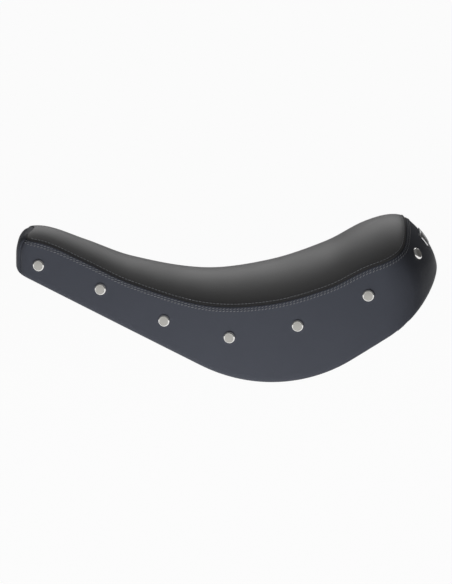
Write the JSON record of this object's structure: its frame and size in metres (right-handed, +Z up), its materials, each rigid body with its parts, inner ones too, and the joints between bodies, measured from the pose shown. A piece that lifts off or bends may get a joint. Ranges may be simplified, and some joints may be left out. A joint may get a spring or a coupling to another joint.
{
  "type": "scooter saddle",
  "caption": "Studded solo saddle of a chopper scooter: long nose, dished top, raised wide tail, stitched dark cover over foam on a moulded pan with a steel mounting plate.",
  "frame": {"origin": "centre of the square of four threaded holes, on the underside face of the mounting plate", "axes": "+X from the nose to the tail, +Y to the rider's right, +Z up, with the saddle at its mounted attitude"},
  "size_m": [0.5461, 0.2402, 0.2041],
  "materials": {
    "top_leather": "satin",
    "side_leather": "satin",
    "foam": "matte",
    "pan_plastic": "matte",
    "plate_steel": "satin",
    "rivet_steel": "satin",
    "buffer_rubber": "matte",
    "stud_chrome": "polished",
    "plate_chrome": "polished"
  },
  "bodies": {
    "root": {"cover_top": "top_leather", "cover_left": "side_leather", "cover_right": "side_leather", "cover_nose": "side_leather", "cover_hem": "side_leather", "foam_core": "foam", "base_pan": "pan_plastic", "mounting_plate": "plate_steel", "plate_rivets": "rivet_steel", "buffer_left": "buffer_rubber", "buffer_right": "buffer_rubber", "studs_left": "stud_chrome", "studs_right": "stud_chrome", "tail_plate": "plate_chrome"}
  },
  "joints": []
}
